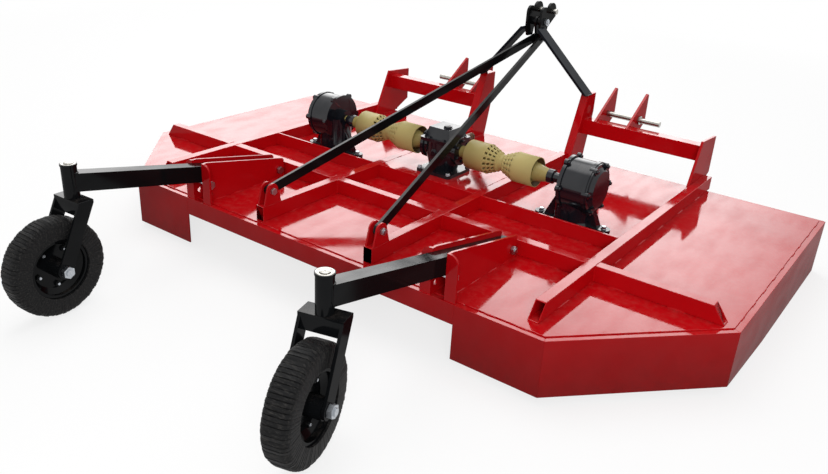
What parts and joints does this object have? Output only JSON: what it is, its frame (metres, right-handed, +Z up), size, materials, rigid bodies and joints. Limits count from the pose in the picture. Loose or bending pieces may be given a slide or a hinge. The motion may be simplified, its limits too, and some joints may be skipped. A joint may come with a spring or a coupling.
{
  "type": "tractor mounted rotary slasher mower",
  "caption": "Three-point mounted rotary slasher mower: flat deck with cut rear corners, open tube frame, shaft-driven gearboxes, A-frame mast and trailing castor wheels.",
  "frame": {"origin": "on the ground under the middle of the machine's outline", "axes": "+X across the machine to the right seen from behind, +Y forward to the tractor, +Z up"},
  "size_m": [2.9, 2.6618, 0.966],
  "materials": {
    "red_paint": "gloss red enamel on welded steel",
    "black_paint": "semi-gloss black paint on steel bar and tube",
    "gearbox_paint": "cast housing, gloss black paint",
    "zinc_plate": "bright zinc plated",
    "blade_steel": "dull forged steel",
    "yoke_paint": "khaki yellow painted forging",
    "guard_plastic": "moulded khaki yellow plastic",
    "tyre_rubber": "stacked rubber with cut edges"
  },
  "bodies": {
    "chassis": {"deck_sheet": "red_paint", "side_skirt_left": "red_paint", "side_skirt_right": "red_paint", "corner_skirt_left": "red_paint", "corner_skirt_right": "red_paint", "rear_skirt_left": "red_paint", "rear_skirt_right": "red_paint", "rear_band": "red_paint", "front_band": "red_paint", "outer_rail_left": "red_paint", "outer_rail_right": "red_paint", "inner_rail_left": "red_paint", "inner_rail_right": "red_paint", "rear_cross_tubes": "red_paint", "front_cross_bars": "red_paint", "gearbox_platform": "red_paint", "inner_upright_left": "red_paint", "inner_upright_right": "red_paint", "outer_upright_left": "red_paint", "outer_upright_right": "red_paint", "hitch_beam_left": "red_paint", "hitch_beam_right": "red_paint", "hitch_lugs": "red_paint", "stay_lugs": "red_paint", "castor_bracket_left": "red_paint", "castor_bracket_right": "red_paint", "mast_leg_left": "black_paint", "mast_leg_right": "black_paint", "mast_head": "black_paint", "stay_tab": "black_paint", "stay_left": "black_paint", "stay_right": "black_paint", "castor_arm_left": "black_paint", "castor_arm_right": "black_paint", "centre_gearbox": "gearbox_paint", "side_gearbox_left": "gearbox_paint", "side_gearbox_right": "gearbox_paint", "lower_link_pins": "zinc_plate", "top_link_pin": "zinc_plate", "stay_bolts": "zinc_plate", "castor_bolts": "zinc_plate", "shaft_guard_left": "guard_plastic", "shaft_guard_right": "guard_plastic"},
    "castor_left": {"castor_fork_left": "black_paint", "axle_left": "zinc_plate"},
    "castor_right": {"castor_fork_right": "black_paint", "axle_right": "zinc_plate"},
    "wheel_left": {"wheel_rim_left": "black_paint", "tyre_left": "tyre_rubber"},
    "wheel_right": {"wheel_rim_right": "black_paint", "tyre_right": "tyre_rubber"},
    "input": {"input_shaft": "blade_steel"},
    "drive_left": {"drive_shaft_left": "yoke_paint"},
    "drive_right": {"drive_shaft_right": "yoke_paint"},
    "rotor_left": {"rotor_left": "blade_steel"},
    "rotor_right": {"rotor_right": "blade_steel"},
    "blade_left_a": {"blade_left_a": "blade_steel"},
    "blade_left_b": {"blade_left_b": "blade_steel"},
    "blade_right_a": {"blade_right_a": "blade_steel"},
    "blade_right_b": {"blade_right_b": "blade_steel"}
  },
  "joints": [
    {"name": "castor_left_swivel", "type": "hinge", "parent": "chassis", "child": "castor_left", "pos_m": [-0.599, -1.0451, 0.464], "axis": [0, 0, 1], "continuous": true},
    {"name": "wheel_left_spin", "type": "hinge", "parent": "castor_left", "child": "wheel_left", "pos_m": [-0.59356, -1.14896, 0.181], "axis": [0.9986, 0.0523, 0], "continuous": true},
    {"name": "castor_right_swivel", "type": "hinge", "parent": "chassis", "child": "castor_right", "pos_m": [0.599, -1.0451, 0.464], "axis": [0, 0, 1], "continuous": true},
    {"name": "wheel_right_spin", "type": "hinge", "parent": "castor_right", "child": "wheel_right", "pos_m": [0.62592, -1.14556, 0.181], "axis": [0.9659, 0.2588, 0], "continuous": true},
    {"name": "input_spin", "type": "hinge", "parent": "chassis", "child": "input", "pos_m": [0, 0.5559, 0.411], "axis": [0, 1, 0], "continuous": true},
    {"name": "drive_left_spin", "type": "hinge", "parent": "chassis", "child": "drive_left", "pos_m": [-0.302, 0.37589, 0.411], "axis": [1, 0, 0], "continuous": true},
    {"name": "rotor_left_spin", "type": "hinge", "parent": "chassis", "child": "rotor_left", "pos_m": [-0.645, 0.37589, 0.136], "axis": [0, 0, 1], "continuous": true},
    {"name": "blade_left_a_swing", "type": "hinge", "parent": "rotor_left", "child": "blade_left_a", "pos_m": [-0.46822, 0.55267, 0.087], "axis": [0, 0, 1], "range_deg": [-90, 90]},
    {"name": "blade_left_b_swing", "type": "hinge", "parent": "rotor_left", "child": "blade_left_b", "pos_m": [-0.82178, 0.19912, 0.087], "axis": [0, 0, 1], "range_deg": [-90, 90]},
    {"name": "drive_right_spin", "type": "hinge", "parent": "chassis", "child": "drive_right", "pos_m": [0.302, 0.37589, 0.411], "axis": [1, 0, 0], "continuous": true},
    {"name": "rotor_right_spin", "type": "hinge", "parent": "chassis", "child": "rotor_right", "pos_m": [0.645, 0.37589, 0.136], "axis": [0, 0, 1], "continuous": true},
    {"name": "blade_right_a_swing", "type": "hinge", "parent": "rotor_right", "child": "blade_right_a", "pos_m": [0.82178, 0.55267, 0.087], "axis": [0, 0, 1], "range_deg": [-90, 90]},
    {"name": "blade_right_b_swing", "type": "hinge", "parent": "rotor_right", "child": "blade_right_b", "pos_m": [0.46822, 0.19912, 0.087], "axis": [0, 0, 1], "range_deg": [-90, 90]}
  ],
  "couplings": [
    {"joint": "drive_left_spin", "follows": "rotor_left_spin", "ratio": -0.75648},
    {"joint": "drive_right_spin", "follows": "rotor_left_spin", "ratio": -0.75648},
    {"joint": "input_spin", "follows": "rotor_left_spin", "ratio": -0.51814},
    {"joint": "rotor_right_spin", "follows": "rotor_left_spin", "ratio": -1}
  ]
}
